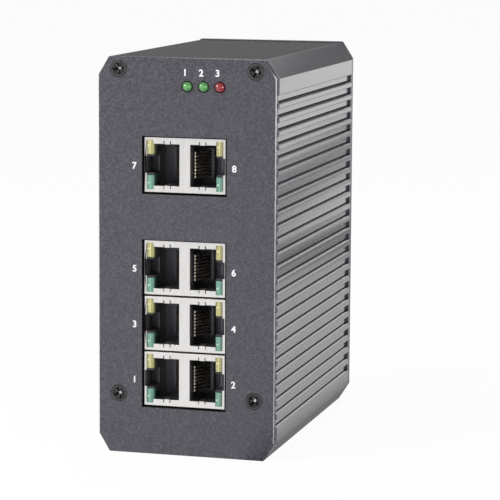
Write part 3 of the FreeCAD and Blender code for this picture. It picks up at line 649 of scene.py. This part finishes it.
for node, facing, turns, slot, material in (
        ("front_screws", FACING_FRONT, FRONT_TURNS, "black_steel", black_steel),
        ("rear_screws", FACING_REAR, REAR_TURNS, "black_steel", black_steel),
        ("bracket_screws", FACING_REAR, BRACKET_TURNS, "zinc_steel", zinc_steel)):
    low, high, _ = corners(node)
    places = screw_places(node, facing, turns)
    screws = placed(countersunk_screw(high.y - low.y), places)
    fitted(screws, f"{node}_finish", material, slot, node)
    if material is black_steel:
        heads_worn_and_light_painted(screws, places, worn_steel, ring_painted_highlight, recess_painted_shade)


# ---- Earthing screw -------------------------------------------------------------
# A bright zinc pan-head screw with a cross recess, low on the rear plate, for the earth lead.
# A star washer under its head bites through the paint.
PAN_PROFILE = ((0.25, 1.0), (0.62, 0.95), (0.86, 0.78), (0.97, 0.5))  # shares of radius and height
EARTH_RECESS = (1.35 * RECESS_WIDTH, 1.2 * RECESS_BLADE, 1.6 * MM)
EARTH_TURN = 31                    # degrees
WASHER_TEETH = 12
WASHER_SIDES = 4 * WASHER_TEETH
WASHER_SHARE = 0.5 / 3.9           # a washer's thickness to its radius
HEAD_CLEARANCE = 0.5 * MM          # under the head, where the washer goes

low, high, middle = corners("ground_screw")
plate_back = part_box("rear_plate")[1][1]
head_radius = (high.x - low.x) / 2
head_height = high.y - plate_back
shank_radius = head_radius / 2
shank_end = low.y - plate_back
profile = [(share * head_radius, rise * head_height) for share, rise in PAN_PROFILE]
profile += [(profile[-1][0], HEAD_CLEARANCE), (shank_radius, HEAD_CLEARANCE),
            (shank_radius, 0.8 * shank_end), (0.7 * shank_radius, shank_end)]
head = turned(profile, 48)
for blade in driver_tip(*EARTH_RECESS):
    blade.data.transform(Matrix.Translation((0, 0, head_height)))
    cut(head, blade)
round_edges(head, 0.06 * MM, 2, 40)
washer = turned([(head_radius, 0), (head_radius, WASHER_SHARE * head_radius)], WASHER_SIDES)


def between_teeth(place):
    """Whether a washer's vertex is one of the fourths that are drawn in between its teeth."""
    turn = math.atan2(place.y, place.x) / math.tau + 1
    return int(WASHER_SIDES * turn + 0.5) % 4 == 0


bpy.ops.object.mode_set(mode="EDIT")
select_where(washer, between_teeth)
bpy.ops.transform.resize(value=(0.9, 0.9, 1), center_override=(0, 0, 0))
bpy.ops.object.mode_set(mode="OBJECT")
axis = Matrix.Translation((middle.x, plate_back, middle.z)) @ FACING_REAR
screw = placed(joined([head, washer]), [axis @ Matrix.Rotation(math.radians(EARTH_TURN), 4, "Z")])
fitted(screw, "ground_screw_finish", zinc_steel, "zinc_steel", "ground_screw")


# ---- Jack shields -----------------------------------------------------------------
# Tin-bright nickel-plated sheet, blanked and folded round each double socket. Its blanked
# edges are a little rounded, and the rolling of the sheet leaves a fine upright grain.
JACKS = ("jack_1_2", "jack_3_4", "jack_5_6", "jack_7_8")
SHEET_EDGE = 0.05 * MM
FOLD_EDGE = 0.25 * MM              # outside of the folds round the face

nickel_sheet = grained_material("nickel_sheet", (0.84, 0.82, 0.8), (0.92, 0.9, 0.885), (0.26, 0.36), 900, 150,
                                0.001 * MM, stretch=(4, 1, 0.25), Metallic=1.0)
for jack in JACKS:
    node = f"{jack}_shield"
    low, high, _ = corners(node)
    shield = merged_copy(node)
    bevel_where(shield, lambda place: place.y < low.y + 0.01 * MM and min(
        place.x - low.x, high.x - place.x, place.z - low.z, high.z - place.z) < 0.01 * MM, FOLD_EDGE, 4)
    round_edges(shield, SHEET_EDGE, 2, 40.0)
    fitted(shield, f"{node}_finish", nickel_sheet, "nickel_sheet", node, angle=40.0)


# ---- Jack inserts ---------------------------------------------------------------
# Each insert is one glass-filled black moulding with two sockets back to back. A comb of
# eight slots at the rear of each socket guides the free ends of its contact wires. Painted light
# makes the moulding paler far in, and a painted highlight lies on the latch stops' front edges.
CONTACT_COUNT = 8
CONTACT_PITCH = 1.02 * MM
CONTACT_WIDTH = 0.46 * MM
COMB_SLOT_WIDTH = 0.66 * MM
COMB_SLOT_DEPTH = 1.4 * MM
COMB_SLOT_SPAN = (2.2 * MM, 5.4 * MM)  # from the jack's middle
MOULDING_EDGE = 0.06 * MM
COMB_MOUTH = 0.2 * MM              # a slot's start before the comb
LATCH_STOP_DEPTH = 6.0 * MM        # behind the shield's face
LATCH_STOP_EDGE = 0.35 * MM
LATCH_STOP_END = 0.5 * MM          # before the insert's rear
LATCH_STOP_HALF = 2.6 * MM
LATCH_STOP_WALL = 0.1 * MM         # left outside it
SOCKET_OUTER = 9.75 * MM           # from the jack's middle to a socket's outer wall
DEEP_PAINTED_LIGHT_COLOUR = (0.16, 0.155, 0.18, 1)  # painted light: the moulding is paler far in
DEEP_PAINTED_LIGHT_TONES = ((6.5 * MM, 0.0), (11.0 * MM, 1.0))  # (behind the shield's face, share)


def contact_heights(middle):
    """Middles of a socket's eight contacts."""
    first = middle - (CONTACT_COUNT - 1) / 2 * CONTACT_PITCH
    return [first + i * CONTACT_PITCH for i in range(CONTACT_COUNT)]


def latch_stops(jack):
    """Rounded shoulder in each latch channel, behind which the plug's latch springs out."""
    front = corners(f"{jack}_shield")[0].y + LATCH_STOP_DEPTH
    _, high, middle = corners(f"{jack}_insert")
    outer = high.x - middle.x - LATCH_STOP_WALL
    stops = []
    for side in (-1, 1):
        x0, x1 = sorted((middle.x + side * SOCKET_OUTER, middle.x + side * outer))
        stop = brick((x0, front, middle.z - LATCH_STOP_HALF),
                     (x1, high.y - LATCH_STOP_END, middle.z + LATCH_STOP_HALF))
        round_edges(stop, LATCH_STOP_EDGE, 4, 40.0)
        stops.append(stop)
    return stops


black_moulding = grained_material("black_moulding", (0.024, 0.023, 0.027), (0.042, 0.04, 0.048), (0.3, 0.42),
                                  2600, 500, 0.004 * MM)
# Painted highlight: pale rounded front edges on the latch stops.
edge_painted_highlight = grained_material("edge_painted_highlight", (0.16, 0.16, 0.18), (0.26, 0.26, 0.29), (0.2, 0.3),
                                 2600, 500, 0.002 * MM)
tree = black_moulding.node_tree
# Painted light: the moulding's colour turns paler with depth behind the shield's face.
behind_face = calculated(tree, "SUBTRACT", axes_of(tree)[1], corners(f"{JACKS[0]}_shield")[0].y)
skin = tree.nodes.new("ShaderNodeMix")
skin.data_type = "RGBA"
skin.inputs["B"].default_value = DEEP_PAINTED_LIGHT_COLOUR
tree.links.new(tone_ramp(tree, behind_face, DEEP_PAINTED_LIGHT_TONES), skin.inputs["Factor"])
tree.links.new(tree.nodes["tones"].outputs["Color"], skin.inputs["A"])
tree.links.new(skin.outputs["Result"], tree.nodes["Principled BSDF"].inputs["Base Color"])
for jack in JACKS:
    insert = merged_copy(f"{jack}_insert")
    _, high, middle = corners(f"{jack}_contacts")
    comb_face = high.y
    half_slot = COMB_SLOT_WIDTH / 2
    slots = []
    for side in (-1, 1):
        x0, x1 = sorted(middle.x + side * reach for reach in COMB_SLOT_SPAN)
        slots += [brick((x0, comb_face - COMB_MOUTH, z - half_slot),
                        (x1, comb_face + COMB_SLOT_DEPTH, z + half_slot)) for z in contact_heights(middle.z)]
    cut(insert, joined(slots))
    round_edges(insert, MOULDING_EDGE, 1, 40.0)
    insert = joined([insert] + latch_stops(jack))
    fitted(insert, f"{jack}_insert_finish", black_moulding, "black_moulding", f"{jack}_insert")
    stop_front = corners(f"{jack}_shield")[0].y + LATCH_STOP_DEPTH
    # The latch stops' rounded front edges take the painted highlight.
    for face in with_materials(insert, edge_painted_highlight):
        at_front = -0.01 * MM < face.center.y - stop_front < LATCH_STOP_EDGE
        rounded = face.normal.y < -0.3 and abs(face.normal.x) > 0.3
        if at_front and rounded and abs(face.center.x - middle.x) < SOCKET_OUTER + LATCH_STOP_EDGE:
            face.material_index = 1


# ---- Contact wires ---------------------------------------------------------------
# Flat spring wire, gold over nickel, sixteen to a jack. Each comes forward along the socket's
# floor, is folded back on itself at the mouth and rises to a free end in the comb.
WIRE_EDGE = 0.04 * MM
WIRE_THICKNESS = 0.25 * MM
FOLD_RADIUS = 0.45 * MM            # outside of the fold
FOLD_STEPS = 8
WIRE_RUN = 6.35 * MM               # from the fold's front to the free end
WIRE_RISE = 3.5 * MM
TIP_TURN = 0.35 * MM               # the free end is turned down a little

gold_plate = grained_material("gold_plate", (0.5, 0.44, 0.34), (0.74, 0.67, 0.54), (0.16, 0.3), 1800, 300,
                              0.002 * MM, Metallic=1.0)


def wire_path(floor, rear):
    """Middle line of a wire as (u, y): u out from the jack's middle, y back from the fold's front."""
    skin = WIRE_THICKNESS / 2
    radius = FOLD_RADIUS - skin
    middle_u, middle_y = floor + FOLD_RADIUS, FOLD_RADIUS
    slope = math.atan2(WIRE_RISE - FOLD_RADIUS, WIRE_RUN - FOLD_RADIUS)
    sweep = math.pi - slope
    path = [(floor + skin, rear)]
    for step in range(FOLD_STEPS + 1):
        angle = math.pi + sweep * step / FOLD_STEPS
        path.append((middle_u + radius * math.cos(angle), middle_y + radius * math.sin(angle)))
    tip_u = floor + WIRE_RISE - skin
    path.append((tip_u, WIRE_RUN - 2 * TIP_TURN))
    path.append((tip_u - skin, WIRE_RUN))
    return path


def contact_wire(path, side):
    """One wire, drawn out edge by edge along its path, then given its thickness and soft arrises."""
    (u0, y0), (_, y1) = path[:2]
    bpy.ops.mesh.primitive_plane_add(size=1, location=(side * u0, (y0 + y1) / 2, 0),
                                     rotation=(0, math.pi / 2, 0))
    wire = bpy.context.object
    wire.scale = (CONTACT_WIDTH, y0 - y1, 1)
    bpy.ops.object.transform_apply(location=True, rotation=True, scale=True)
    bpy.ops.object.mode_set(mode="EDIT")
    bpy.ops.mesh.select_mode(type="VERT")
    select_where(wire, lambda place: place.y < (y0 + y1) / 2)
    for (u, y), (next_u, next_y) in zip(path[1:], path[2:]):
        step = (side * (next_u - u), next_y - y, 0)
        bpy.ops.mesh.extrude_region_move(TRANSFORM_OT_translate={"value": step})
    bpy.ops.object.mode_set(mode="OBJECT")
    thickness = wire.modifiers.new("thickness", "SOLIDIFY")
    thickness.thickness = WIRE_THICKNESS
    thickness.offset = 0
    thickness.use_even_offset = True
    bpy.ops.object.modifier_apply(modifier=thickness.name)
    round_edges(wire, WIRE_EDGE, 1, 50.0)
    return wire


for jack in JACKS:
    low, high, middle = corners(f"{jack}_contacts")
    floor = (high.x - low.x) / 2 - WIRE_RISE
    rear = high.y - low.y
    halves = []
    for side in (-1, 1):
        master = contact_wire(wire_path(floor, rear), side)
        places = [Matrix.Translation((middle.x, low.y, z)) for z in contact_heights(middle.z)]
        halves.append(placed(master, places))
    wires = joined(halves)
    bpy.ops.object.mode_set(mode="EDIT")
    bpy.ops.mesh.select_all(action="SELECT")
    bpy.ops.mesh.normals_make_consistent(inside=False)
    bpy.ops.object.mode_set(mode="OBJECT")
    fitted(wires, f"{jack}_contacts_finish", gold_plate, "gold_plate", f"{jack}_contacts")


# ---- Socket lights -----------------------------------------------------------------
# Clear tinted mouldings in the outer corners of each socket, yellow above and green below,
# each with a pillowed face. A painted highlight shows as a pale streak and a pale spot, a painted
# shade darkens each light's outer edge, and a painted shade darkens the body with depth.
LIGHT_PILLOW = 0.55 * MM
LIGHT_EDGE = 0.12 * MM
LIGHT_DEPTH_SHADE = ((0.0, 1.0), (LIGHT_PILLOW, 0.95), (1.6 * MM, 0.3), (3.2 * MM, 0.0))  # painted shade, by depth
LIGHT_STREAK_AND_EDGE_SHADE = ((0.0, 0.48), (0.34, 0.4), (0.5, 0.8), (0.6, 0.38), (0.85, 0.52), (1.0, 0.05))  # inner to outer: a painted highlight streak, and painted shade at the outer edge
HIGHLIGHT_SPOT_RADIUS = 0.42 * MM               # radius of the painted highlight spot
HIGHLIGHT_SPOT_PLACE = 0.6 * MM               # from a light's left edge
HIGHLIGHT_SPOT_COLOUR = (0.92, 0.93, 0.9)
LIGHT_LOOKS = {                    # dark and light colour, and the painted highlight spot's distance below a light's top
    "yellow": ((0.03, 0.027, 0.01), (0.64, 0.6, 0.25), 1.7 * MM),
    "green": ((0.01, 0.035, 0.026), (0.2, 0.45, 0.34), 2.3 * MM),
}


def nearest(tree, value, places):
    """How far a value is from the nearest of some places."""
    gaps = [calculated(tree, "ABSOLUTE", calculated(tree, "SUBTRACT", value, place)) for place in places]
    while len(gaps) > 1:
        gaps.append(calculated(tree, "MINIMUM", gaps.pop(0), gaps.pop(0)))
    return gaps[0]


def light_material(colour, dark, light, highlight_drop):
    """Tinted clear plastic whose tone follows the place across a light and the depth behind its face, as
    painted highlight and painted shade.
    """
    material = grained_material(f"{colour}_clear", dark, light, (0.08, 0.14), 1200, 300, 0.002 * MM,
                                Coat_Weight=0.8, Coat_Roughness=0.05)
    tree = material.node_tree
    x, y, z = axes_of(tree)
    low, high, middle = corners(f"{JACKS[0]}_{colour}_lights")
    outer = (high.x - low.x) / 2
    out = calculated(tree, "SUBTRACT", nearest(tree, x, [middle.x]), SOCKET_OUTER)
    across = calculated(tree, "DIVIDE", out, outer - SOCKET_OUTER)
    depth = calculated(tree, "SUBTRACT", y, low.y)
    depth_shade = tone_ramp(tree, depth, LIGHT_DEPTH_SHADE)
    tone = calculated(tree, "MULTIPLY", tone_ramp(tree, across, LIGHT_STREAK_AND_EDGE_SHADE), depth_shade)
    # Painted highlight: a pale spot near each light's upper left.
    aside = nearest(tree, x, [low.x + HIGHLIGHT_SPOT_PLACE, middle.x + SOCKET_OUTER + HIGHLIGHT_SPOT_PLACE])
    up = nearest(tree, z, [corners(f"{jack}_{colour}_lights")[1].z - highlight_drop for jack in JACKS])
    squares = [calculated(tree, "MULTIPLY", gap, gap) for gap in (aside, up)]
    distance = calculated(tree, "SQRT", calculated(tree, "ADD", *squares))
    highlight_spot = tone_ramp(tree, distance, ((0.0, 1.0), (0.5 * HIGHLIGHT_SPOT_RADIUS, 0.9), (HIGHLIGHT_SPOT_RADIUS, 0.0)))
    ramp = tree.nodes["tones"]
    ramp.color_ramp.elements.new(0.5)
    stops = ((0.0, dark), (0.75, light), (1.0, HIGHLIGHT_SPOT_COLOUR))
    for element, (position, shade) in zip(ramp.color_ramp.elements, stops):
        element.position = position
        element.color = (*shade, 1)
    tree.links.new(calculated(tree, "MAXIMUM", tone, highlight_spot), ramp.inputs["Fac"])
    return material


light_materials = {colour: light_material(colour, *look) for colour, look in LIGHT_LOOKS.items()}
for jack in JACKS:
    for colour, material in light_materials.items():
        node = f"{jack}_{colour}_lights"
        front = corners(node)[0].y
        lights = merged_copy(node)
        bevel_where(lights, lambda place: place.y < front + 0.01 * MM, LIGHT_PILLOW, 6)
        round_edges(lights, LIGHT_EDGE, 2, 50.0)
        fitted(lights, f"{node}_finish", material, f"{colour}_clear", node, angle=35.0)


# ---- Indicators -------------------------------------------------------------------
# Three 3 mm lamps with domed lenses of diffused resin, two green and one red. The collar
# has a flat that marks one lead, and two square leads run back to their board.
GREEN_LENS = ("green_lens", (0.004, 0.03, 0.004), (0.14, 0.44, 0.13))  # painted shade's colour at the rim, then the middle's colour
RED_LENS = ("red_lens", (0.03, 0.002, 0.003), (0.42, 0.04, 0.05))
LENS_LOOKS = {"power_led_1": GREEN_LENS, "power_led_2": GREEN_LENS, "alarm_led": RED_LENS}
# Painted shade: the lens darkens towards its rim.
LENS_MIDDLE_AND_SHADE_TONES = ((0.0, 1.0), (0.2, 0.85), (0.35, 0.55), (0.6, 0.62), (0.75, 0.5), (0.95, 0.1), (1.2, 0.0))
LENS_BRIGHT_OFFSET = (0.3 * MM, 0.05 * MM)  # the brightest place from the lens's middle, right and up, so the painted shade is deepest on the left
LENS_RADIUS = 1.55 * MM
LENS_STEPS = 8
COLLAR_FRONT = 4.0 * MM            # behind the dome's top
COLLAR_THICKNESS = 1.0 * MM
COLLAR_FLAT = 0.86                 # share of the collar's radius
LEAD_HALF = 0.25 * MM
LEAD_OFFSET = 1.27 * MM


def lens_material(name, shaded_rim_colour, middle_colour, middle):
    """Diffused resin that is brighter in the lens's middle, where the die shows and painted light is added,
    with painted shade at its rim that is deepest on the left.
    """
    material = grained_material(name, shaded_rim_colour, middle_colour, (0.08, 0.16), 1500, 400, 0.001 * MM,
                                Coat_Weight=0.5, Coat_Roughness=0.05)
    tree = material.node_tree
    x, _, z = axes_of(tree)
    aside = calculated(tree, "SUBTRACT", x, middle.x + LENS_BRIGHT_OFFSET[0])
    up = calculated(tree, "SUBTRACT", z, middle.z + LENS_BRIGHT_OFFSET[1])
    squares = [calculated(tree, "MULTIPLY", gap, gap) for gap in (aside, up)]
    distance = calculated(tree, "SQRT", calculated(tree, "ADD", *squares))
    share = calculated(tree, "DIVIDE", distance, LENS_RADIUS)
    ramp = tree.nodes["tones"]
    ramp.color_ramp.elements[0].position = 0.0
    ramp.color_ramp.elements[1].position = 1.0
    tree.links.new(tone_ramp(tree, share, LENS_MIDDLE_AND_SHADE_TONES), ramp.inputs["Fac"])
    return material


for node, (slot, shaded_rim_colour, middle_colour) in LENS_LOOKS.items():
    low, high, middle = corners(node)
    collar_radius = (high.x - low.x) / 2
    depth = high.y - low.y
    rings = []
    for step in range(1, LENS_STEPS + 1):
        angle = math.pi / 2 * step / LENS_STEPS
        rings.append((LENS_RADIUS * math.sin(angle), -LENS_RADIUS * (1 - math.cos(angle))))
    rings += [(LENS_RADIUS, -COLLAR_FRONT), (collar_radius, -COLLAR_FRONT),
              (collar_radius, -COLLAR_FRONT - COLLAR_THICKNESS)]
    lamp = turned(rings, 40)
    cut(lamp, brick((COLLAR_FLAT * collar_radius, -collar_radius, -COLLAR_FRONT - 2 * COLLAR_THICKNESS),
                    (2 * collar_radius, collar_radius, 0.1 * MM - COLLAR_FRONT)))
    collar_rear = -COLLAR_FRONT - COLLAR_THICKNESS
    leads = [brick((x - LEAD_HALF, -LEAD_HALF, -depth), (x + LEAD_HALF, LEAD_HALF, collar_rear))
             for x in (-LEAD_OFFSET, LEAD_OFFSET)]
    lamp = placed(joined([lamp] + leads), [Matrix.Translation((middle.x, low.y, middle.z)) @ FACING_FRONT])
    material = lens_material(f"{node}_lens", shaded_rim_colour, middle_colour, middle)
    fitted(lamp, f"{node}_finish", material, slot, node, angle=40.0)


# ---- Printed numbers ----------------------------------------------------------------
# White screen-printed numbers on the front plate: one beside each socket, and one above each
# indicator. The ink stands a hundredth of a millimetre proud of the coat.
INK_THICKNESS = 0.01 * MM
DIGIT_HEIGHT = 2.05 * MM
DIGIT_CAP_SHARE = 0.729            # a digit's height in the typeface's own units
DIGIT_WEIGHT = 0.025
LEFT_GAP = 2.6 * MM                # jack's edge to the middle of its digit
RIGHT_GAP = 2.8 * MM
DIGIT_DROP = 0.35 * MM             # below the jack's middle
INDICATOR_RISE = 4.1 * MM
INDICATOR_SHIFT = -0.7 * MM

plate_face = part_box("front_plate")[0][1]
white_ink = grained_material("white_ink", (0.78, 0.78, 0.79), (0.88, 0.88, 0.89), (0.45, 0.55), 2200, 700,
                             0.004 * MM)


def digit(text, x, z):
    """One printed digit, centred on a point of the plate's face."""
    bpy.ops.object.text_add()
    piece = bpy.context.object
    piece.data.body = text
    piece.data.align_x = "CENTER"
    piece.data.align_y = "CENTER"
    piece.data.size = DIGIT_HEIGHT / DIGIT_CAP_SHARE
    piece.data.offset = DIGIT_WEIGHT * piece.data.size
    piece.data.extrude = INK_THICKNESS / 2
    bpy.ops.object.convert(target="MESH")
    spans = [[vertex.co[axis] for vertex in piece.data.vertices] for axis in range(3)]
    middle = Vector([(min(span) + max(span)) / 2 for span in spans])
    place = Matrix.Translation((x, plate_face - INK_THICKNESS / 2, z))
    piece.data.transform(place @ FACING_FRONT @ Matrix.Translation(-middle))
    return piece


digits = []
for number, jack in enumerate(JACKS):
    low, high, middle = corners(f"{jack}_shield")
    z = middle.z - DIGIT_DROP
    digits.append(digit(str(2 * number + 1), low.x - LEFT_GAP, z))
    digits.append(digit(str(2 * number + 2), high.x + RIGHT_GAP, z))
for number, node in enumerate(LENS_LOOKS):
    middle = corners(node)[2]
    digits.append(digit(str(number + 1), middle.x + INDICATOR_SHIFT, middle.z + INDICATOR_RISE))
fitted(joined(digits), "printed_numbers", white_ink, "plate_coat")


# ---- Rail bracket and spring -----------------------------------------------------------
# The bracket is cut from a clear-anodised extrusion whose die lines run along X. The spring
# is bright flat wire, bowed between two holes in the upper hook.
BRACKET_EDGE = 0.15 * MM
SPRING_EDGE = 0.12 * MM

bracket_aluminium = grained_material("bracket_aluminium", (0.6, 0.605, 0.615), (0.75, 0.755, 0.765),
                                     (0.28, 0.42), 2200, 300, 0.004 * MM, stretch=(0.03, 1, 1), Metallic=1.0)
spring_steel = grained_material("spring_steel", (0.4, 0.4, 0.41), (0.6, 0.6, 0.61), (0.2, 0.34), 1800, 300,
                                0.003 * MM, stretch=(0.1, 1, 1), Metallic=1.0)
softened("rail_bracket", "bracket_aluminium", bracket_aluminium, BRACKET_EDGE)
softened("rail_spring", "spring_steel", spring_steel, SPRING_EDGE)


# ---- Terminal header -------------------------------------------------------------
# A green moulded header with six square tinned pins, set mouth down into the underside.
# The pins' tips are swaged to a taper so that the plug slides on.
HEADER_EDGE = 0.12 * MM
PIN_TAPER = 0.22 * MM

terminal_moulding = grained_material("terminal_moulding", (0.015, 0.12, 0.045), (0.03, 0.19, 0.075),
                                     (0.32, 0.45), 2200, 500, 0.004 * MM)
pin_tin = grained_material("pin_tin", (0.62, 0.62, 0.6), (0.78, 0.78, 0.76), (0.2, 0.34), 1800, 400,
                           0.003 * MM, stretch=(1, 1, 0.2), Metallic=1.0)
softened("terminal_header", "terminal_moulding", terminal_moulding, HEADER_EDGE)
softened("terminal_pins", "zinc_steel", pin_tin, PIN_TAPER)


# ---- Boards and components ----------------------------------------------------------
# Glass-laminate boards under green solder mask, moulded chips, drawn aluminium capacitors
# and a crystal can, all behind the plates and seen only when the housing is open.
board_laminate = grained_material("board_laminate", (0.012, 0.075, 0.03), (0.03, 0.15, 0.06), (0.22, 0.36),
                                  900, 60, 0.01 * MM, stretch=(1, 1, 0.3))
chip_resin = grained_material("chip_resin", (0.014, 0.014, 0.015), (0.03, 0.03, 0.031), (0.45, 0.6),
                              2600, 400, 0.008 * MM)
can_aluminium = grained_material("can_aluminium", (0.6, 0.61, 0.63), (0.78, 0.79, 0.8), (0.2, 0.34),
                                 1500, 200, 0.003 * MM, stretch=(0.05, 1, 1), Metallic=1.0)
crystal_can = grained_material("crystal_can", (0.6, 0.6, 0.6), (0.74, 0.74, 0.74), (0.22, 0.34), 1600, 300,
                               0.003 * MM, Metallic=1.0)
for material, *components in (
        (board_laminate, "main_board", "indicator_board"), (black_moulding, "indicator_pin_strip"),
        (chip_resin, "switch_chip", "converter_chip", "inductor", "fuse", "alarm_relay"),
        (crystal_can, "crystal"), (can_aluminium, "capacitors")):
    for node in components:
        nodes[node].data.materials.clear()
        nodes[node].data.materials.append(material)
